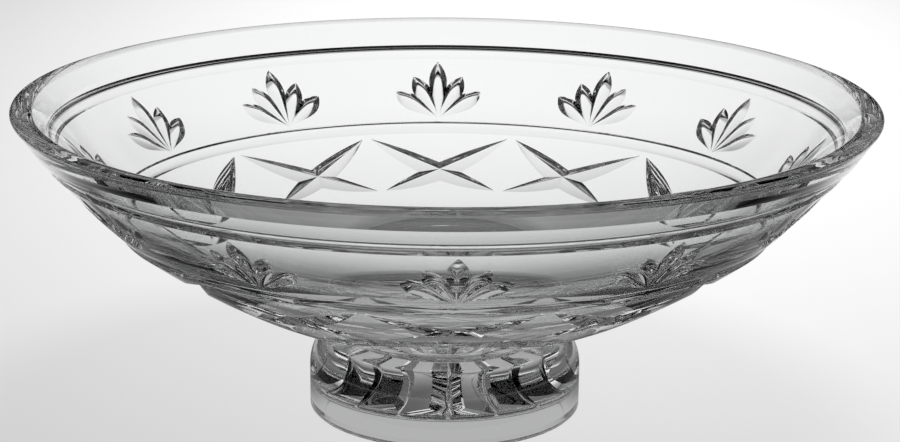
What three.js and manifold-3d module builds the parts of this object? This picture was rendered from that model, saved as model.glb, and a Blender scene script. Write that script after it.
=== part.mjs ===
// A clear cut-glass footed bowl: a wide, thick bowl with cut fans and crossed mitre cuts,
// bonded by a thin clear film to a heavy disc foot that is hollowed and star-cut underneath.
import * as THREE from "three";
import { ConvexGeometry } from "three/addons/geometries/ConvexGeometry.js";
import { mergeVertices } from "three/addons/utils/BufferGeometryUtils.js";
import Module from "manifold-3d";

// Sizes are in millimetres, angles in degrees, and heights are above the table.

// The foot.
const footRadius = 45;
const footHeight = 24.4;
const footShoulderInset = 6;
const footShoulderDrop = 10;
const footEdge = 1;
const footHollowDepth = 9.4;
const footRingWidth = 5.5;
const footHollowDraft = 0.6;
const footTopRise = 0.6;
const starRays = 16;
const starDepth = 8;
const starHalfAngle = 60;
const starMargin = 0.5;
const starOverlap = 0.5;

// The joint between the foot and the bowl.
const neckRadius = 33;
const filmThickness = 0.3;
const filmInset = 0.6;

// The bowl's outside, from the neck up to the rim, with a hollow ring between the zones and below the band.
const neckFlare = 10;
const neckHeight = 6;
const neckHollow = 1;
const undersideRun = 34;
const undersideRise = 14;
const undersideBulge = 1.3;
const diamondZoneRun = 29.9;
const diamondZoneRise = 19.7;
const diamondZoneBulge = 0.6;
const ringRun = 3.5;
const ringRise = 4;
const ringHollow = 0.75;
const fanZoneRun = 19.1;
const fanZoneRise = 20.4;
const fanZoneBulge = 0.3;
const stepRun = 3.9;
const stepRise = 4.5;
const stepHollow = 0.9;
const rimBandRun = 6.6;
const rimBandRise = 9.9;

// The lip and the inside.
const lipThickness = 9;
const lipCrown = 1.2;
const lipInnerDrop = 0.7;
const wallFootRadius = 72.8;
const wallFootRise = 16;
const wallHollow = 5.8;
const floorThickness = 10.8;
const floorHollow = 4;

// The cuts. Twelve fans of five petals stand above twelve pairs of crossed mitres.
const patternRepeats = 12;
const patternTurn = 1.6;
const innerPetalAngle = 26.5;
const outerPetalAngle = 53.5;
const petalBaseMargin = 1.5;
const middlePetalLength = 25;
const innerPetalLength = 20.6;
const outerPetalLength = 19.8;
const petalHalfWidth = 3.4;
const petalDepth = 2.5;
const petalTaper = 1.6;
const mitreUpperRun = 33.5;
const mitreLowerRun = 7.2;
const mitreTipGap = 3.6;
const mitreDeepening = 0.25;
const mitreHalfAngle = 57;
const mitreCutterHeight = 6;

// How finely round stretches are drawn.
const turnSteps = 60;
const shoulderSteps = 4;
const petalSides = 6;
const petalRings = 5;

const point = (radius, height) => new THREE.Vector2(radius, height);

// Points along a circular arc, without its first point. A positive bulge lies to the right of its way.
function arc(from, to, bulge, steps) {
  const chord = to.clone().sub(from);
  const half = chord.length() / 2;
  const bend = 2 * Math.atan(bulge / half);
  const radius = half / Math.sin(bend);
  const right = point(chord.y, -chord.x).normalize();
  const centre = from.clone().add(to).multiplyScalar(0.5).addScaledVector(right, bulge - radius);
  const start = from.clone().sub(centre);
  return Array.from({ length: steps }, (_, step) => {
    return start.clone().rotateAround(point(0, 0), (2 * bend * (step + 1)) / steps).add(centre);
  });
}

// A turned solid about the vertical axis from its half outline, which runs outwards first and then up.
function turned(outline) {
  const geometry = new THREE.LatheGeometry(outline, turnSteps);
  geometry.rotateX(Math.PI / 2);
  return geometry;
}

const seatHeight = footHeight + footTopRise;
const bowlBottom = seatHeight + filmThickness;

// The foot: a ring to stand on around a hollow, straight sides, a round shoulder and a top that meets the neck.
const hollowRadius = footRadius - footRingWidth;

function footOutline() {
  const shoulder = Array.from({ length: shoulderSteps + 1 }, (_, step) => {
    const lean = (Math.PI / 2) * (step / shoulderSteps);
    const inset = footShoulderInset * (1 - Math.cos(lean));
    const drop = footShoulderDrop * (1 - Math.sin(lean));
    return point(footRadius - inset, footHeight - drop);
  });
  return [
    point(0, footHollowDepth),
    point(hollowRadius - footHollowDraft, footHollowDepth),
    point(hollowRadius, 0),
    point(footRadius - footEdge, 0),
    point(footRadius, footEdge),
    ...shoulder,
    point(neckRadius, seatHeight),
    point(0, seatHeight),
  ];
}

// The named circles of the bowl's outside, each set off from the one below it.
const neckFoot = point(neckRadius, bowlBottom);
const neckTop = point(neckFoot.x + neckFlare, neckFoot.y + neckHeight);
const diamondFoot = point(neckTop.x + undersideRun, neckTop.y + undersideRise);
const diamondTop = point(diamondFoot.x + diamondZoneRun, diamondFoot.y + diamondZoneRise);
const fanFoot = point(diamondTop.x + ringRun, diamondTop.y + ringRise);
const fanTop = point(fanFoot.x + fanZoneRun, fanFoot.y + fanZoneRise);
const bandFoot = point(fanTop.x + stepRun, fanTop.y + stepRise);
const rim = point(bandFoot.x + rimBandRun, bandFoot.y + rimBandRise);
const lipTop = point(rim.x - lipThickness / 2, rim.y + lipCrown);
const lipInner = point(rim.x - lipThickness, rim.y + lipCrown - lipInnerDrop);
const floorCentre = point(0, bowlBottom + floorThickness);
const wallFoot = point(wallFootRadius, floorCentre.y + wallFootRise);
const diamondZone = arc(diamondFoot, diamondTop, diamondZoneBulge, 3);
const fanZone = arc(fanFoot, fanTop, fanZoneBulge, 3);

function bowlOutline() {
  return [
    point(0, bowlBottom),
    neckFoot,
    ...arc(neckFoot, neckTop, -neckHollow, 4),
    ...arc(neckTop, diamondFoot, undersideBulge, 3),
    ...diamondZone,
    ...arc(diamondTop, fanFoot, -ringHollow, 3),
    ...fanZone,
    ...arc(fanTop, bandFoot, -stepHollow, 3),
    rim,
    ...arc(rim, lipTop, lipCrown / 4, 2),
    ...arc(lipTop, lipInner, lipCrown / 4, 2),
    ...arc(lipInner, wallFoot, -wallHollow, 5),
    ...arc(wallFoot, floorCentre, -floorHollow, 3),
  ];
}

// A place on a zone of the outside, at a run along the zone's chord from its foot and a turn in radians.
function onZone(from, to, bulge, run, turn) {
  const chord = to.clone().sub(from);
  const share = run / chord.length();
  const right = point(chord.y, -chord.x).normalize();
  const swell = 4 * bulge * share * (1 - share);
  const spot = from.clone().addScaledVector(chord, share).addScaledVector(right, swell);
  const place = new THREE.Vector3(spot.x * Math.cos(turn), spot.x * Math.sin(turn), spot.y);
  const outward = new THREE.Vector3(right.x * Math.cos(turn), right.x * Math.sin(turn), right.y);
  return { place, outward, radius: spot.x };
}

const onFans = (run, turn) => onZone(fanFoot, fanTop, fanZoneBulge, run, turn);
const onDiamonds = (run, turn) => onZone(diamondFoot, diamondTop, diamondZoneBulge, run, turn);

// Turns a cutter drawn along +X with its top towards +Z to lie from one place to another.
function laid(geometry, start, end, outward) {
  const along = end.clone().sub(start).normalize();
  const across = outward.clone().cross(along).normalize();
  const up = along.clone().cross(across);
  geometry.applyMatrix4(new THREE.Matrix4().makeBasis(along, across, up).setPosition(start));
  return geometry;
}

// A petal's gouge: pointed where the fan's petals meet, widest past its middle and round at its tip.
function petalCutter(fanTurn, angle, length) {
  const lean = THREE.MathUtils.degToRad(angle);
  const base = onFans(petalBaseMargin, fanTurn);
  const tipRun = petalBaseMargin + length * Math.cos(lean);
  const tipRadius = onFans(tipRun, fanTurn).radius;
  const tip = onFans(tipRun, fanTurn + (length * Math.sin(lean)) / tipRadius);
  const reach = tip.place.distanceTo(base.place);
  const outline = Array.from({ length: petalRings + 1 }, (_, ring) => {
    const share = ring / petalRings;
    const width = petalHalfWidth * Math.sin(Math.PI * share ** petalTaper);
    return point(ring % petalRings === 0 ? 0 : width, share * reach);
  });
  const geometry = new THREE.LatheGeometry(outline, petalSides);
  geometry.rotateZ(-Math.PI / 2);
  geometry.scale(1, 1, petalDepth / petalHalfWidth);
  const outward = base.outward.clone().add(tip.outward).normalize();
  return laid(geometry, base.place, tip.place, outward);
}

// A mitre's straight V, whose keel joins two tips on the round outside and so is deepest between them.
function mitreCutter(crossTurn, side) {
  const sector = Math.PI / patternRepeats;
  const upperRadius = onDiamonds(mitreUpperRun, crossTurn).radius;
  const lowerRadius = onDiamonds(mitreLowerRun, crossTurn).radius;
  const upper = onDiamonds(mitreUpperRun, crossTurn + side * (sector - mitreTipGap / 2 / upperRadius));
  const lower = onDiamonds(mitreLowerRun, crossTurn - side * (sector - mitreTipGap / 2 / lowerRadius));
  const outward = upper.outward.clone().add(lower.outward).normalize();
  const reach = upper.place.distanceTo(lower.place);
  const spread = mitreCutterHeight * Math.tan(THREE.MathUtils.degToRad(mitreHalfAngle));
  const section = new THREE.Shape([
    point(0, 0),
    point(spread, mitreCutterHeight),
    point(-spread, mitreCutterHeight),
  ]);
  const geometry = new THREE.ExtrudeGeometry(section, { depth: 2 * reach, bevelEnabled: false });
  geometry.translate(0, -mitreDeepening, -reach / 2);
  geometry.rotateX(Math.PI / 2).rotateZ(Math.PI / 2);
  return laid(geometry, lower.place, upper.place, outward);
}

// One ray of the star under the foot: a V with its keel deep at the axis, running out at the hollow's edge.
function starCutter(turn) {
  const reach = hollowRadius - footHollowDraft - starMargin;
  const slope = Math.tan(THREE.MathUtils.degToRad(starHalfAngle));
  const ends = [{ run: 0, depth: starDepth }, { run: reach, depth: 0 }];
  const corners = ends.flatMap(({ run, depth }) => {
    const half = (depth + starOverlap) * slope;
    const low = footHollowDepth - starOverlap;
    return [
      new THREE.Vector3(run, -half, low),
      new THREE.Vector3(run, half, low),
      new THREE.Vector3(run, 0, footHollowDepth + depth),
    ];
  });
  return new ConvexGeometry(corners).rotateZ(turn);
}

const wasm = await Module();
wasm.setup();

function toSolid(geometry) {
  const bare = new THREE.BufferGeometry().setAttribute("position", geometry.getAttribute("position"));
  bare.setIndex(geometry.getIndex());
  const merged = mergeVertices(bare, 1e-4);
  return new wasm.Manifold(new wasm.Mesh({
    numProp: 3,
    vertProperties: new Float32Array(merged.getAttribute("position").array),
    triVerts: new Uint32Array(merged.getIndex().array),
  }));
}

function toGeometry(solid) {
  const mesh = solid.getMesh();
  const geometry = new THREE.BufferGeometry();
  geometry.setAttribute("position", new THREE.BufferAttribute(mesh.vertProperties, 3));
  geometry.setIndex(new THREE.BufferAttribute(mesh.triVerts, 1));
  geometry.computeVertexNormals();
  return geometry;
}

function footGeometry() {
  let solid = toSolid(turned(footOutline()));
  for (let ray = 0; ray < starRays; ray += 1) {
    const turn = (2 * Math.PI * ray) / starRays + THREE.MathUtils.degToRad(patternTurn);
    solid = solid.subtract(toSolid(starCutter(turn)));
  }
  return toGeometry(solid);
}

function bowlGeometry() {
  const petals = [
    { angle: 0, length: middlePetalLength },
    { angle: innerPetalAngle, length: innerPetalLength },
    { angle: -innerPetalAngle, length: innerPetalLength },
    { angle: outerPetalAngle, length: outerPetalLength },
    { angle: -outerPetalAngle, length: outerPetalLength },
  ];
  let solid = toSolid(turned(bowlOutline()));
  for (let repeat = 0; repeat < patternRepeats; repeat += 1) {
    const turn = (2 * Math.PI * repeat) / patternRepeats + THREE.MathUtils.degToRad(patternTurn - 90);
    for (const { angle, length } of petals) {
      solid = solid.subtract(toSolid(petalCutter(turn, angle, length)));
    }
    for (const side of [-1, 1]) {
      solid = solid.subtract(toSolid(mitreCutter(turn, side)));
    }
  }
  return toGeometry(solid);
}

function filmOutline() {
  const filmRadius = neckRadius - filmInset;
  return [
    point(0, seatHeight),
    point(filmRadius, seatHeight),
    point(filmRadius, bowlBottom),
    point(0, bowlBottom),
  ];
}

const crystal = new THREE.MeshStandardMaterial({ color: 0xf4f7f8, roughness: 0.03, metalness: 0 });
const adhesive = new THREE.MeshStandardMaterial({ color: 0xf7f7f2, roughness: 0.1, metalness: 0 });

function piece(name, geometry, material) {
  const mesh = new THREE.Mesh(geometry, material);
  mesh.name = name;
  return mesh;
}

const footedBowl = new THREE.Group();
footedBowl.add(piece("foot", footGeometry(), crystal));
footedBowl.add(piece("bond_film", turned(filmOutline()), adhesive));
footedBowl.add(piece("bowl", bowlGeometry(), crystal));

export default footedBowl;
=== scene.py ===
from math import atan, cos, pi, radians, sin, sqrt, tan

import bpy
from mathutils import Matrix, Vector


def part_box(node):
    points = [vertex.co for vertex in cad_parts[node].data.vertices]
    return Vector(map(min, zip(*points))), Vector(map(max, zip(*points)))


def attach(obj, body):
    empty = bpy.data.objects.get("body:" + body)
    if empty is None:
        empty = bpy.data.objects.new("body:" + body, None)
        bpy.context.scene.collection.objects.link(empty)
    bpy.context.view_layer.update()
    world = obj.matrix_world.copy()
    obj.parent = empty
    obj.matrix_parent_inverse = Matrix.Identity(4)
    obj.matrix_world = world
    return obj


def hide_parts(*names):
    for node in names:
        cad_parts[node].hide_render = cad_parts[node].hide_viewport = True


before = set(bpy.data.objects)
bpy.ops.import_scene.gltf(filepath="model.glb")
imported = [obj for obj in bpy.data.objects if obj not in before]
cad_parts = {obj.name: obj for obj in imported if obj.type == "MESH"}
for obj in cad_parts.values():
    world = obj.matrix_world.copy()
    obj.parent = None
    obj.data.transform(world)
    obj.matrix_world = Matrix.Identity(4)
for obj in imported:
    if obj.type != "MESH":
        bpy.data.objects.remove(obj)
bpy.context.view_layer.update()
bowlLow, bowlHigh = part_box("bowl")
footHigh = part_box("foot")[1]
filmLow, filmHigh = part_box("bond_film")
scene = bpy.context.scene
scene.view_settings.view_transform = "Standard"
scene.cycles.max_bounces = 32
scene.cycles.transmission_bounces = 32
scene.cycles.glossy_bounces = 16


# camera, set out from the rim's circle

shot = {
    "rimHeight": 0.10385,
    "distance": 0.770,
    "elevation": radians(12.765),
    "pitch": radians(15.688),
    "roll": radians(0.457),
    "focalPixels": 2368.0,
    "shiftPixels": 4.12,
    "imageWidth": 900,
    "sensor": 36.0,
    "clipStart": 0.01,
}


def placeCamera():
    lens = bpy.data.cameras.new("photoCamera")
    lens.sensor_fit = "HORIZONTAL"
    lens.sensor_width = shot["sensor"]
    lens.lens = shot["focalPixels"] / shot["imageWidth"] * shot["sensor"]
    lens.shift_x = shot["shiftPixels"] / shot["imageWidth"]
    lens.clip_start = shot["clipStart"]
    camera = bpy.data.objects.new("photoCamera", lens)
    scene.collection.objects.link(camera)
    back = Vector((0, -cos(shot["elevation"]), sin(shot["elevation"]))) * shot["distance"]
    tilt = Matrix.Rotation(pi / 2 - shot["pitch"], 4, "X") @ Matrix.Rotation(shot["roll"], 4, "Z")
    camera.matrix_world = Matrix.Translation(Vector((0, 0, shot["rimHeight"])) + back) @ tilt
    scene.camera = camera


placeCamera()
print("camera placed")


# materials

def newMaterial(name):
    material = bpy.data.materials.new(name)
    material.use_nodes = True
    material.node_tree.nodes.clear()
    return material, material.node_tree


# crystal: clear, with slow waves left by fire polishing and a faint haze of handling
crystal = {
    "tint": (0.985, 0.99, 0.99, 1),
    "ior": 1.54,
    "waveScale": 34.0,
    "waveDetail": 1.0,
    "waveStrength": 0.006,
    "waveHeight": 0.0004,
    "hazeScale": 90.0,
    "hazeDetail": 4.0,
    "hazeFrom": 0.45,
    "hazeTo": 0.75,
    "hazeLow": 0.0,
    "hazeHigh": 0.004,
}


def crystalMaterial():
    material, tree = newMaterial("clearCrystal")
    new, link = tree.nodes.new, tree.links.new
    place = new("ShaderNodeTexCoord")
    waves = new("ShaderNodeTexNoise")
    waves.inputs["Scale"].default_value = crystal["waveScale"]
    waves.inputs["Detail"].default_value = crystal["waveDetail"]
    bump = new("ShaderNodeBump")
    bump.inputs["Strength"].default_value = crystal["waveStrength"]
    bump.inputs["Distance"].default_value = crystal["waveHeight"]
    haze = new("ShaderNodeTexNoise")
    haze.inputs["Scale"].default_value = crystal["hazeScale"]
    haze.inputs["Detail"].default_value = crystal["hazeDetail"]
    blur = new("ShaderNodeMapRange")
    blur.inputs["From Min"].default_value = crystal["hazeFrom"]
    blur.inputs["From Max"].default_value = crystal["hazeTo"]
    blur.inputs["To Min"].default_value = crystal["hazeLow"]
    blur.inputs["To Max"].default_value = crystal["hazeHigh"]
    glass = new("ShaderNodeBsdfPrincipled")
    glass.inputs["Base Color"].default_value = crystal["tint"]
    glass.inputs["IOR"].default_value = crystal["ior"]
    glass.inputs["Transmission Weight"].default_value = 1.0
    out = new("ShaderNodeOutputMaterial")
    link(place.outputs["Object"], waves.inputs["Vector"])
    link(place.outputs["Object"], haze.inputs["Vector"])
    link(waves.outputs["Fac"], bump.inputs["Height"])
    link(bump.outputs["Normal"], glass.inputs["Normal"])
    link(haze.outputs["Fac"], blur.inputs["Value"])
    link(blur.outputs["Result"], glass.inputs["Roughness"])
    link(glass.outputs["BSDF"], out.inputs["Surface"])
    return material


# bond: a clear cured adhesive, a little uneven where its edge shows
bond = {
    "tint": (0.97, 0.97, 0.96, 1),
    "wettedTint": (0.995, 0.995, 0.995, 1),
    "ior": 1.5,
    "grainScale": 900.0,
    "roughLow": 0.05,
    "roughHigh": 0.18,
}


def bondMaterial():
    material, tree = newMaterial("clearBond")
    new, link = tree.nodes.new, tree.links.new
    place = new("ShaderNodeTexCoord")
    grain = new("ShaderNodeTexNoise")
    grain.inputs["Scale"].default_value = bond["grainScale"]
    rough = new("ShaderNodeMapRange")
    rough.inputs["To Min"].default_value = bond["roughLow"]
    rough.inputs["To Max"].default_value = bond["roughHigh"]
    cured = new("ShaderNodeBsdfPrincipled")
    cured.inputs["Base Color"].default_value = bond["tint"]
    cured.inputs["IOR"].default_value = bond["ior"]
    cured.inputs["Transmission Weight"].default_value = 1.0
    out = new("ShaderNodeOutputMaterial")
    link(place.outputs["Object"], grain.inputs["Vector"])
    link(grain.outputs["Fac"], rough.inputs["Value"])
    link(rough.outputs["Result"], cured.inputs["Roughness"])
    link(cured.outputs["BSDF"], out.inputs["Surface"])
    return material


# faces that the bond wets on both sides, where light goes straight on
def wettedMaterial():
    material, tree = newMaterial("wettedFace")
    clear = tree.nodes.new("ShaderNodeBsdfTransparent")
    clear.inputs["Color"].default_value = bond["wettedTint"]
    out = tree.nodes.new("ShaderNodeOutputMaterial")
    tree.links.new(clear.outputs["BSDF"], out.inputs["Surface"])
    return material


clearCrystal = crystalMaterial()
clearBond = bondMaterial()
wettedFace = wettedMaterial()
print("materials made")


# outlines, as points of radius and height

def arcPoints(start, end, bulge, steps):
    # a round stretch without its first point; a positive bulge lies to the right of its way
    start, end = Vector(start), Vector(end)
    chord = end - start
    half = chord.length / 2
    bend = 2 * atan(bulge / half)
    right = Vector((chord.y, -chord.x)).normalized()
    centre = (start + end) / 2 + right * (bulge - half / sin(bend))
    points = []
    for step in range(1, steps + 1):
        turned = Matrix.Rotation(2 * bend * step / steps, 2) @ (start - centre)
        points.append(centre + turned)
    return points


def straightPoints(start, end, steps):
    return [Vector(start).lerp(Vector(end), step / steps) for step in range(1, steps + 1)]


def easedCorner(before, corner, after, radius, steps=5, support=0.00025):
    # a small round in place of a sharp corner, with a support point on either side of it
    back = (before - corner).normalized()
    onward = (after - corner).normalized()
    half = back.angle(onward) / 2
    cut = radius / tan(half)
    start, end = corner + back * cut, corner + onward * cut
    chord, toCorner = end - start, corner - start
    side = 1 if chord.x * toCorner.y - chord.y * toCorner.x < 0 else -1
    bulge = side * chord.length / 2 * tan((pi - 2 * half) / 4)
    arc = arcPoints(start, end, bulge, steps)
    return [start + back * support, start] + arc + [end + onward * support]


def easedOutline(points, radii):
    # radii names the corners to round by their place in the list
    outline = []
    for index, spot in enumerate(points):
        if index in radii:
            outline += easedCorner(points[index - 1], spot, points[index + 1], radii[index])
        else:
            outline.append(spot)
    return outline


# turned pieces: one vertex is extruded along the outline and the line is spun about Z

seedSize = 0.001
nearZero = 1e-6
seatTolerance = 1e-5


def deselectAll():
    bpy.ops.object.select_all(action="DESELECT")


def turnPiece(name, outline, steps):
    deselectAll()
    bpy.ops.mesh.primitive_plane_add(size=seedSize)
    piece = bpy.context.object
    piece.name = piece.data.name = name
    bpy.ops.object.mode_set(mode="EDIT")
    bpy.ops.mesh.select_all(action="SELECT")
    bpy.ops.mesh.merge(type="CENTER")
    spot = Vector((0, 0))
    for index, target in enumerate(outline):
        move = (target.x - spot.x, 0, target.y - spot.y)
        if index == 0:
            bpy.ops.transform.translate(value=move)
        else:
            bpy.ops.mesh.extrude_region_move(TRANSFORM_OT_translate={"value": move})
        spot = target
    bpy.ops.mesh.select_all(action="SELECT")
    bpy.ops.mesh.spin(steps=steps, angle=2 * pi, center=(0, 0, 0), axis=(0, 0, 1))
    bpy.ops.mesh.select_all(action="SELECT")
    bpy.ops.mesh.remove_doubles(threshold=nearZero)
    bpy.ops.mesh.normals_make_consistent(inside=False)
    bpy.ops.object.mode_set(mode="OBJECT")
    piece.data.materials.append(clearCrystal)
    return piece


def finishPiece(piece, node, sharpAngle):
    deselectAll()
    piece.select_set(True)
    bpy.context.view_layer.objects.active = piece
    bpy.ops.object.shade_smooth_by_angle(angle=sharpAngle)
    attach(piece, "root")
    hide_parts(node)


# the bowl's outside, from the neck up; a hollow ring is cut between the zones and below the rim band
bowl = {
    "neckRadius": 0.033,
    "neckFlare": 0.010,
    "neckHeight": 0.006,
    "neckHollow": 0.001,
    "undersideRun": 0.034,
    "undersideRise": 0.014,
    "undersideBulge": 0.0013,
    "diamondRun": 0.0299,
    "diamondRise": 0.0197,
    "diamondBulge": 0.0006,
    "ringRun": 0.0035,
    "ringRise": 0.0040,
    "ringHollow": 0.00075,
    "fanRun": 0.0191,
    "fanRise": 0.0204,
    "fanBulge": 0.0003,
    "stepRun": 0.0039,
    "stepRise": 0.0045,
    "stepHollow": 0.0009,
    "lipThickness": 0.007,
    "flareRun": 0.0045,
    "flareRise": 0.0054,
    "lipInnerDrop": 0.0007,
    "lipCrown": 0.0002,
    "rimOverhang": 0.0005,
    "rimRise": 0.0003,
    "wallFootRadius": 0.0728,
    "wallFootRise": 0.016,
    "wallHollow": 0.0049,
    "floorThickness": 0.0108,
    "floorHollow": 0.004,
    "edgeRound": 0.00025,
    "rimRound": 0.0008,
    "lipInnerRound": 0.0012,
    "flareRound": 0.003,
    "neckSteps": 10,
    "undersideSteps": 14,
    "diamondSteps": 14,
    "ringSteps": 9,
    "fanSteps": 12,
    "stepSteps": 10,
    "bandSteps": 4,
    "lipSteps": 3,
    "flareSteps": 3,
    "wallSteps": 22,
    "floorSteps": 22,
    "turnSteps": 288,
    "sharpAngle": radians(22),
}
neckFoot = Vector((bowl["neckRadius"], bowlLow.z))
neckTop = neckFoot + Vector((bowl["neckFlare"], bowl["neckHeight"]))
diamondFoot = neckTop + Vector((bowl["undersideRun"], bowl["undersideRise"]))
diamondTop = diamondFoot + Vector((bowl["diamondRun"], bowl["diamondRise"]))
fanFoot = diamondTop + Vector((bowl["ringRun"], bowl["ringRise"]))
fanTop = fanFoot + Vector((bowl["fanRun"], bowl["fanRise"]))
bandFoot = fanTop + Vector((bowl["stepRun"], bowl["stepRise"]))


def bowlOutline():
    rim = Vector((bowlHigh.x + bowl["rimOverhang"], shot["rimHeight"] + bowl["rimRise"]))
    lipTop = Vector((bowlHigh.x - bowl["lipThickness"] / 2, bowlHigh.z - bowl["lipCrown"] / 2))
    lipInner = Vector((bowlHigh.x - bowl["lipThickness"], bowlHigh.z - bowl["lipInnerDrop"]))
    flareFoot = lipInner - Vector((bowl["flareRun"], bowl["flareRise"]))
    floorCentre = Vector((0, bowlLow.z + bowl["floorThickness"]))
    wallFoot = Vector((bowl["wallFootRadius"], floorCentre.y + bowl["wallFootRise"]))
    points = [Vector((0, bowlLow.z)), Vector((filmHigh.x, bowlLow.z)), neckFoot]
    rounds = {2: bowl["edgeRound"]}
    points += arcPoints(neckFoot, neckTop, -bowl["neckHollow"], bowl["neckSteps"])
    points += arcPoints(neckTop, diamondFoot, bowl["undersideBulge"], bowl["undersideSteps"])
    points += arcPoints(diamondFoot, diamondTop, bowl["diamondBulge"], bowl["diamondSteps"])
    rounds[len(points) - 1] = bowl["edgeRound"]
    points += arcPoints(diamondTop, fanFoot, -bowl["ringHollow"], bowl["ringSteps"])
    rounds[len(points) - 1] = bowl["edgeRound"]
    points += arcPoints(fanFoot, fanTop, bowl["fanBulge"], bowl["fanSteps"])
    rounds[len(points) - 1] = bowl["edgeRound"]
    points += arcPoints(fanTop, bandFoot, -bowl["stepHollow"], bowl["stepSteps"])
    rounds[len(points) - 1] = bowl["edgeRound"]
    points += straightPoints(bandFoot, rim, bowl["bandSteps"])
    rounds[len(points) - 1] = bowl["rimRound"]
    points += arcPoints(rim, lipTop, bowl["lipCrown"], bowl["lipSteps"])
    points += arcPoints(lipTop, lipInner, bowl["lipCrown"], bowl["lipSteps"])
    rounds[len(points) - 1] = bowl["lipInnerRound"]
    points += straightPoints(lipInner, flareFoot, bowl["flareSteps"])
    rounds[len(points) - 1] = bowl["flareRound"]
    points += arcPoints(flareFoot, wallFoot, -bowl["wallHollow"], bowl["wallSteps"])
    points += arcPoints(wallFoot, floorCentre, -bowl["floorHollow"], bowl["floorSteps"])
    return easedOutline(points, rounds)


bowlPiece = turnPiece("bowl_crystal", bowlOutline(), bowl["turnSteps"])
print("bowl turned", len(bowlPiece.data.polygons), "faces")


# the cuts: twelve fans of five petals above twelve pairs of crossed mitres
cuts = {
    "repeats": 12,
    "turn": radians(1.6),
    "petalBase": 0.0015,
    "petals": [
        {"angle": radians(0), "length": 0.025},
        {"angle": radians(26.5), "length": 0.0206},
        {"angle": radians(-26.5), "length": 0.0206},
        {"angle": radians(53.5), "length": 0.0198},
        {"angle": radians(-53.5), "length": 0.0198},
    ],
    "petalHalfWidth": 0.0034,
    "petalDepth": 0.0025,
    "petalTaper": 1.6,
    "petalBlunt": 0.85,
    "petalSink": 1.6,
    "petalKeel": 0.6,
    "petalLift": 0.002,
    "petalSegments": 44,
    "petalRings": 20,
    "mitreUpperRun": 0.0335,
    "mitreLowerRun": 0.0072,
    "mitreTipGap": 0.0036,
    "mitreTipDepth": 0.0001,
    "mitreBow": 0.0013,
    "mitreHalfAngle": radians(53),
    "mitreHeight": 0.006,
    "mitreKeelRound": 0.0002,
    "mitreKeelSegments": 2,
    "mitreOverrun": 0.2,
    "mitreSteps": 26,
}


def onZone(foot, top, bulge, run, turn):
    # a place on a zone of the outside, with the way out of the glass there and its radius
    chord = top - foot
    share = run / chord.length
    right = Vector((chord.y, -chord.x)).normalized()
    spot = foot + chord * share + right * (4 * bulge * share * (1 - share))
    place = Vector((spot.x * cos(turn), spot.x * sin(turn), spot.y))
    outward = Vector((right.x * cos(turn), right.x * sin(turn), right.y))
    return place, outward, spot.x


def layAlong(start, end, outward):
    # turns +X to run from start to end, with +Z out of the glass
    along = (end - start).normalized()
    across = outward.cross(along).normalized()
    up = along.cross(across)
    return Matrix.Translation(start) @ Matrix((along, across, up)).transposed().to_4x4()


def petalPoint(ball, length):
    # moves a point of a unit ball, poles on Z, to the petal's gouge along X
    share = (ball.z + 1) / 2
    width = cuts["petalHalfWidth"] * max(sin(pi * share ** cuts["petalTaper"]), 0) ** cuts["petalBlunt"]
    depth = cuts["petalDepth"] * (width / cuts["petalHalfWidth"]) ** cuts["petalSink"]
    ringSize = sqrt(ball.x ** 2 + ball.y ** 2)
    if ringSize < nearZero:
        return Vector((share * length, 0, 0))
    across = ball.x / ringSize
    keel = cuts["petalKeel"]
    if ball.y > 0:
        height = cuts["petalLift"] * ball.y
    else:
        hill = (sqrt(across ** 2 + keel ** 2) - keel) / (sqrt(1 + keel ** 2) - keel)
        height = -depth * (1 - hill)
    return Vector((share * length, across * width, height))


def petalCutter(length):
    deselectAll()
    segments, rings = cuts["petalSegments"], cuts["petalRings"]
    bpy.ops.mesh.primitive_uv_sphere_add(segments=segments, ring_count=rings, radius=1)
    cutter = bpy.context.object
    for vertex in cutter.data.vertices:
        vertex.co = petalPoint(vertex.co, length)
    bpy.ops.object.mode_set(mode="EDIT")
    bpy.ops.mesh.select_all(action="SELECT")
    bpy.ops.mesh.normals_make_consistent(inside=False)
    bpy.ops.object.mode_set(mode="OBJECT")
    return cutter


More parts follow.
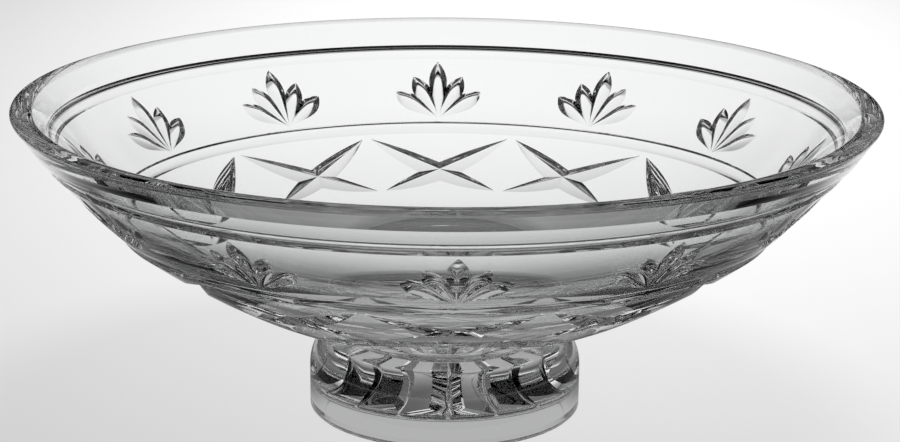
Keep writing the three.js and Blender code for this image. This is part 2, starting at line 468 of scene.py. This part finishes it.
def mitreCutter(length):
    # a long V with its keel along X, bowed down into the glass as a wheel leaves it
    height = cuts["mitreHeight"]
    spread = height * tan(cuts["mitreHalfAngle"])
    steps, overrun = cuts["mitreSteps"], cuts["mitreOverrun"]
    shares = [-overrun + (1 + 2 * overrun) * step / steps for step in range(steps + 1)]
    drops = [-cuts["mitreTipDepth"] - cuts["mitreBow"] * 4 * share * (1 - share) for share in shares]
    deselectAll()
    bpy.ops.mesh.primitive_circle_add(vertices=3, radius=1, fill_type="NGON")
    cutter = bpy.context.object
    section = [(0, -spread, height), (0, 0, 0), (0, spread, height)]
    for vertex, spot in zip(cutter.data.vertices, section):
        vertex.co = Vector(spot) + Vector((shares[0] * length, 0, drops[0]))
    bpy.ops.object.mode_set(mode="EDIT")
    bpy.ops.mesh.select_all(action="SELECT")
    for step in range(steps):
        move = ((shares[step + 1] - shares[step]) * length, 0, drops[step + 1] - drops[step])
        bpy.ops.mesh.extrude_region_move(TRANSFORM_OT_translate={"value": move})
    bpy.ops.mesh.select_all(action="SELECT")
    bpy.ops.mesh.normals_make_consistent(inside=False)
    bpy.ops.mesh.select_all(action="DESELECT")
    bpy.ops.object.mode_set(mode="OBJECT")
    for edge in cutter.data.edges:
        ends = [cutter.data.vertices[index].co for index in edge.vertices]
        edge.select = all(abs(end.y) < nearZero and end.z < height / 2 for end in ends)
    bpy.ops.object.mode_set(mode="EDIT")
    bpy.ops.mesh.select_mode(type="EDGE")
    keelRound, keelSegments = cuts["mitreKeelRound"], cuts["mitreKeelSegments"]
    bpy.ops.mesh.bevel(offset=keelRound, segments=keelSegments, affect="EDGES")
    bpy.ops.mesh.select_mode(type="VERT")
    bpy.ops.object.mode_set(mode="OBJECT")
    return cutter


def repeatCutter(cutter, places):
    # one copy with its own mesh at each place, joined into a single cutter
    copies = []
    for place in places:
        copy = cutter.copy()
        copy.data = cutter.data.copy()
        scene.collection.objects.link(copy)
        copy.data.transform(place)
        copies.append(copy)
    bpy.data.objects.remove(cutter)
    deselectAll()
    for copy in copies:
        copy.select_set(True)
    bpy.context.view_layer.objects.active = copies[0]
    bpy.ops.object.join()
    copies[0].data.materials.append(clearCrystal)
    return copies[0]


def cutAway(piece, cutter):
    deselectAll()
    bpy.context.view_layer.objects.active = piece
    piece.select_set(True)
    cut = piece.modifiers.new("cut", "BOOLEAN")
    cut.operation = "DIFFERENCE"
    cut.solver = "MANIFOLD"
    cut.object = cutter
    bpy.ops.object.modifier_apply(modifier=cut.name)
    bpy.data.objects.remove(cutter)


def repeatTurns():
    repeats = cuts["repeats"]
    return [2 * pi * repeat / repeats + cuts["turn"] - pi / 2 for repeat in range(repeats)]


def petalPlace(turn, angle, length):
    zone = (fanFoot, fanTop, bowl["fanBulge"])
    base, baseOut, _ = onZone(*zone, cuts["petalBase"], turn)
    tipRun = cuts["petalBase"] + length * cos(angle)
    tipRadius = onZone(*zone, tipRun, turn)[2]
    tip, tipOut, _ = onZone(*zone, tipRun, turn + length * sin(angle) / tipRadius)
    return layAlong(base, tip, (baseOut + tipOut).normalized())


def mitreEnds(turn, side):
    zone = (diamondFoot, diamondTop, bowl["diamondBulge"])
    sector = pi / cuts["repeats"]
    ends = []
    for run, way in ((cuts["mitreLowerRun"], -side), (cuts["mitreUpperRun"], side)):
        radius = onZone(*zone, run, turn)[2]
        ends.append(onZone(*zone, run, turn + way * (sector - cuts["mitreTipGap"] / 2 / radius)))
    return ends


def cutFans():
    for petal in cuts["petals"]:
        places = [petalPlace(turn, petal["angle"], petal["length"]) for turn in repeatTurns()]
        cutAway(bowlPiece, repeatCutter(petalCutter(petal["length"]), places))


def cutCrosses():
    for side in (-1, 1):
        places = []
        for turn in repeatTurns():
            (lower, lowerOut, _), (upper, upperOut, _) = mitreEnds(turn, side)
            places.append(layAlong(lower, upper, (lowerOut + upperOut).normalized()))
        length = (upper - lower).length
        cutAway(bowlPiece, repeatCutter(mitreCutter(length), places))


cutFans()
print("fans cut", len(bowlPiece.data.polygons), "faces")
cutCrosses()
print("crosses cut", len(bowlPiece.data.polygons), "faces")


def dressSeat(piece, height):
    # the faces that the bond wets show no surface of their own
    piece.data.materials.append(wettedFace)
    for face in piece.data.polygons:
        seated = abs(face.center.z - height) < seatTolerance
        inside = Vector(face.center.xy).length < filmHigh.x
        face.material_index = 1 if seated and inside else 0


dressSeat(bowlPiece, bowlLow.z)
finishPiece(bowlPiece, "bowl", bowl["sharpAngle"])


# the foot: a standing ring round a star-cut hollow, straight sides and a round shoulder up to the neck
foot = {
    "shoulderInset": 0.006,
    "shoulderDrop": 0.010,
    "shoulderSteps": 18,
    "topRise": 0.0006,
    "topRound": 0.0004,
    "topSteps": 3,
    "edge": 0.001,
    "edgeRound": 0.0004,
    "sideSteps": 6,
    "ringWidth": 0.0055,
    "ringInnerRound": 0.0005,
    "hollowDepth": 0.0094,
    "hollowDraft": 0.0006,
    "hollowRound": 0.002,
    "hollowSteps": 8,
    "starRays": 16,
    "starDepth": 0.008,
    "starHalfAngle": radians(60),
    "starOverlap": 0.0005,
    "starMargin": 0.0005,
    "turnSteps": 288,
    "sharpAngle": radians(30),
}


def footOutline():
    radius = footHigh.x
    hollow = radius - foot["ringWidth"]
    topEdge = footHigh.z - foot["topRise"]
    sideTop = Vector((radius, topEdge - foot["shoulderDrop"]))
    shoulder = Vector((radius - foot["shoulderInset"], topEdge))
    roofCentre = Vector((0, foot["hollowDepth"]))
    roofEdge = Vector((hollow - foot["hollowDraft"], foot["hollowDepth"]))
    points = [roofCentre] + straightPoints(roofCentre, roofEdge, foot["hollowSteps"])
    rounds = {len(points) - 1: foot["hollowRound"]}
    points += [Vector((hollow, 0)), Vector((radius - foot["edge"], 0)), Vector((radius, foot["edge"]))]
    rounds[len(points) - 3] = foot["ringInnerRound"]
    rounds[len(points) - 2] = rounds[len(points) - 1] = foot["edgeRound"]
    points += straightPoints((radius, foot["edge"]), sideTop, foot["sideSteps"])
    for step in range(1, foot["shoulderSteps"] + 1):
        lean = pi / 2 * step / foot["shoulderSteps"]
        out, down = foot["shoulderInset"] * cos(lean), foot["shoulderDrop"] * (sin(lean) - 1)
        points.append(shoulder + Vector((out, down)))
    points += straightPoints(shoulder, (bowl["neckRadius"], footHigh.z), foot["topSteps"])
    rounds[len(points) - 1] = foot["topRound"]
    points += [Vector((filmHigh.x, footHigh.z)), Vector((0, footHigh.z))]
    return easedOutline(points, rounds)


def starCutter():
    # one ray of the star: a V with its keel deep at the axis, running out at the hollow's edge,
    # made by moving the corners of a three-sided cone
    reach = footHigh.x - foot["ringWidth"] - foot["hollowDraft"] - foot["starMargin"]
    low = foot["hollowDepth"] - foot["starOverlap"]
    deselectAll()
    bpy.ops.mesh.primitive_cone_add(vertices=3, radius1=1, radius2=0.5, depth=1)
    cutter = bpy.context.object
    sections = []
    for run, depth in ((0, foot["starDepth"]), (reach, 0)):
        half = (depth + foot["starOverlap"]) * tan(foot["starHalfAngle"])
        sections.append([(run, -half, low), (run, half, low), (run, 0, foot["hollowDepth"] + depth)])
    for vertex in cutter.data.vertices:
        vertex.co = sections[0 if vertex.co.z < 0 else 1].pop()
    bpy.ops.object.mode_set(mode="EDIT")
    bpy.ops.mesh.select_all(action="SELECT")
    bpy.ops.mesh.normals_make_consistent(inside=False)
    bpy.ops.object.mode_set(mode="OBJECT")
    return cutter


def cutStar():
    turns = [2 * pi * ray / foot["starRays"] + cuts["turn"] for ray in range(foot["starRays"])]
    for turn in turns:
        cutAway(footPiece, repeatCutter(starCutter(), [Matrix.Rotation(turn, 4, "Z")]))


footPiece = turnPiece("foot_crystal", footOutline(), foot["turnSteps"])
cutStar()
dressSeat(footPiece, footHigh.z)
finishPiece(footPiece, "foot", foot["sharpAngle"])
print("foot turned and its star cut")


# the bond: a thin clear film whose edge alone shows
film = {"edgeRound": 0.0001, "turnSteps": 192, "flatLimit": 0.9, "sharpAngle": radians(30)}


def filmOutline():
    points = [
        Vector((0, filmLow.z)),
        Vector((filmHigh.x, filmLow.z)),
        Vector((filmHigh.x, filmHigh.z)),
        Vector((0, filmHigh.z)),
    ]
    return easedOutline(points, {1: film["edgeRound"], 2: film["edgeRound"]})


def dressFilm(piece):
    piece.data.materials[0] = clearBond
    piece.data.materials.append(wettedFace)
    for face in piece.data.polygons:
        face.material_index = 1 if abs(face.normal.z) > film["flatLimit"] else 0


filmPiece = turnPiece("bond_clear", filmOutline(), film["turnSteps"])
dressFilm(filmPiece)
finishPiece(filmPiece, "bond_film", film["sharpAngle"])
print("film laid")


# the floor and the studio: a pale sweep with painted light bright behind the bowl and a painted shadow
# under it, in a dark room with a soft box overhead
studio = {
    "floorSize": 12.0,
    "floorColour": (0.25, 0.25, 0.25, 1),
    "poolCentre": (0.08, 0.6, 0),
    "poolSize": (0.46, 0.9, 1),
    "poolCore": 0.2,
    "poolEdge": 1.1,
    "poolLevel": 0.97,
    "paleLevel": 0.57,
    "sweepReach": 2.0,
    # the front and back stops paint light along the floor and a painted shadow dark under the bowl; the
    # across and side stops paint it dimmer beside the bowl
    "frontStops": [(-1.1, 0.4), (-0.9, 0.65), (-0.22, 0.62), (-0.1, 0.1), (-0.05, 0.0)],
    "backStops": [
        (0.0, 0.04), (0.06, 0.2), (0.1, 0.45), (0.15, 0.78),
        (0.2, 0.93), (0.4, 1.03), (0.9, 1.05), (1.1, 0.4),
    ],
    "acrossStops": [(0, 1.0), (0.28, 0.95), (0.42, 0.35)],
    "sideStops": [(0.2, 0.0), (0.32, 0.5), (0.9, 0.6), (1.1, 0.4)],
    # painted half shade under the foot: its radius and its levels along the floor
    "underFoot": 0.075,
    "footShadeStops": [(0.0, 0.45), (0.03, 0.06)],
    "wallStops": [(0, 0.0), (10, 0.0), (13, 0.3), (19, 0.3), (22, 0.0)],
    "behindStops": [(0.4, 0), (0.8, 1)],
    "boxPower": 6.0,
    "boxSize": 0.5,
    "boxPlace": (0.15, 0.1, 1.2),
    "boxAim": (0, 0, 0.05),
}


def mathNode(tree, operation, first, second):
    node = tree.nodes.new("ShaderNodeMath")
    node.operation = operation
    for socket, value in zip(node.inputs, (first, second)):
        if isinstance(value, (int, float)):
            socket.default_value = value
        else:
            tree.links.new(value, socket)
    return node.outputs["Value"]


def levelRamp(tree, source, stops, low, high):
    # a grey ramp over a length or an angle, from its stops
    spread = tree.nodes.new("ShaderNodeMapRange")
    spread.inputs["From Min"].default_value = low
    spread.inputs["From Max"].default_value = high
    tree.links.new(source, spread.inputs["Value"])
    ramp = tree.nodes.new("ShaderNodeValToRGB")
    marks = ramp.color_ramp.elements
    marks.remove(marks[1])
    for index, (place, level) in enumerate(stops):
        share = (place - low) / (high - low)
        mark = marks[0] if index == 0 else marks.new(share)
        mark.position = share
        mark.color = (level, level, level, 1)
    tree.links.new(spread.outputs["Result"], ramp.inputs["Fac"])
    return ramp.outputs["Color"]


def floorMaterial():
    material, tree = newMaterial("paleSweep")
    new, link = tree.nodes.new, tree.links.new
    place = new("ShaderNodeTexCoord")
    split = new("ShaderNodeSeparateXYZ")
    link(place.outputs["Object"], split.inputs["Vector"])
    x, y = split.outputs["X"], split.outputs["Y"]
    # what the camera sees: pale all over, with a pool of light behind the bowl
    offset = new("ShaderNodeVectorMath")
    offset.operation = "SUBTRACT"
    offset.inputs[1].default_value = studio["poolCentre"]
    link(place.outputs["Object"], offset.inputs[0])
    scaled = new("ShaderNodeVectorMath")
    scaled.operation = "DIVIDE"
    scaled.inputs[1].default_value = studio["poolSize"]
    link(offset.outputs["Vector"], scaled.inputs[0])
    away = new("ShaderNodeVectorMath")
    away.operation = "LENGTH"
    link(scaled.outputs["Vector"], away.inputs[0])
    pool = new("ShaderNodeMapRange")
    pool.interpolation_type = "SMOOTHSTEP"
    pool.inputs["From Min"].default_value = studio["poolCore"]
    pool.inputs["From Max"].default_value = studio["poolEdge"]
    pool.inputs["To Min"].default_value = studio["poolLevel"]
    pool.inputs["To Max"].default_value = studio["paleLevel"]
    link(away.outputs["Value"], pool.inputs["Value"])
    pale = pool.outputs["Result"]
    # what the glass sees: painted light bright behind the bowl, dimmer in front and beside it, and a
    # painted shadow dark under it
    reach = studio["sweepReach"]
    aside = mathNode(tree, "ABSOLUTE", x, 0)
    along = levelRamp(tree, y, studio["frontStops"] + studio["backStops"], -reach, reach)
    across = levelRamp(tree, aside, studio["acrossStops"], 0, reach)
    side = levelRamp(tree, aside, studio["sideStops"], 0, reach)
    strip = mathNode(tree, "MAXIMUM", mathNode(tree, "MULTIPLY", along, across), side)
    # and a patch of painted half shade on the floor under the foot
    fromCentre = new("ShaderNodeVectorMath")
    fromCentre.operation = "LENGTH"
    link(place.outputs["Object"], fromCentre.inputs[0])
    under = mathNode(tree, "LESS_THAN", fromCentre.outputs["Value"], studio["underFoot"])
    footShade = levelRamp(tree, y, studio["footShadeStops"], -reach, reach)
    strip = mathNode(tree, "MAXIMUM", strip, mathNode(tree, "MULTIPLY", under, footShade))
    rays = new("ShaderNodeLightPath")
    bent = mathNode(tree, "MAXIMUM", rays.outputs["Is Glossy Ray"], rays.outputs["Is Transmission Ray"])
    glow = new("ShaderNodeEmission")
    link(mathNode(tree, "MULTIPLY", pale, rays.outputs["Is Camera Ray"]), glow.inputs["Strength"])
    paper = new("ShaderNodeBsdfDiffuse")
    paper.inputs["Color"].default_value = studio["floorColour"]
    plain = new("ShaderNodeAddShader")
    bright = new("ShaderNodeEmission")
    link(strip, bright.inputs["Strength"])
    either = new("ShaderNodeMixShader")
    out = new("ShaderNodeOutputMaterial")
    link(glow.outputs["Emission"], plain.inputs[0])
    link(paper.outputs["BSDF"], plain.inputs[1])
    link(bent, either.inputs["Fac"])
    link(plain.outputs["Shader"], either.inputs[1])
    link(bright.outputs["Emission"], either.inputs[2])
    link(either.outputs["Shader"], out.inputs["Surface"])
    return material


def layFloor():
    deselectAll()
    bpy.ops.mesh.primitive_plane_add(size=studio["floorSize"])
    floor = bpy.context.object
    floor.name = "pale_sweep"
    floor.data.materials.append(floorMaterial())


def lightWorld():
    # dark all round, with a lit wall low behind the bowl
    world = bpy.data.worlds.new("studioWorld")
    scene.world = world
    world.use_nodes = True
    tree = world.node_tree
    tree.nodes.clear()
    new, link = tree.nodes.new, tree.links.new
    way = new("ShaderNodeTexCoord")
    split = new("ShaderNodeSeparateXYZ")
    link(way.outputs["Generated"], split.inputs["Vector"])
    height = mathNode(tree, "ARCSINE", split.outputs["Z"], 0)
    stops = [(radians(angle), level) for angle, level in studio["wallStops"]]
    wall = levelRamp(tree, height, stops, 0, pi / 2)
    behind = levelRamp(tree, split.outputs["Y"], studio["behindStops"], -1, 1)
    rays = new("ShaderNodeLightPath")
    lit = mathNode(tree, "MULTIPLY", wall, behind)
    glow = new("ShaderNodeBackground")
    out = new("ShaderNodeOutputWorld")
    link(mathNode(tree, "MAXIMUM", lit, rays.outputs["Is Camera Ray"]), glow.inputs["Strength"])
    link(glow.outputs["Background"], out.inputs["Surface"])


def hangSoftbox():
    lamp = bpy.data.lights.new("overheadSoftbox", "AREA")
    lamp.shape = "SQUARE"
    lamp.size = studio["boxSize"]
    lamp.energy = studio["boxPower"]
    box = bpy.data.objects.new("overheadSoftbox", lamp)
    scene.collection.objects.link(box)
    box.location = studio["boxPlace"]
    aim = Vector(studio["boxAim"]) - box.location
    box.rotation_euler = aim.to_track_quat("-Z", "Y").to_euler()
    box.visible_glossy = False
    box.visible_transmission = False


layFloor()
lightWorld()
hangSoftbox()
print("studio lit")
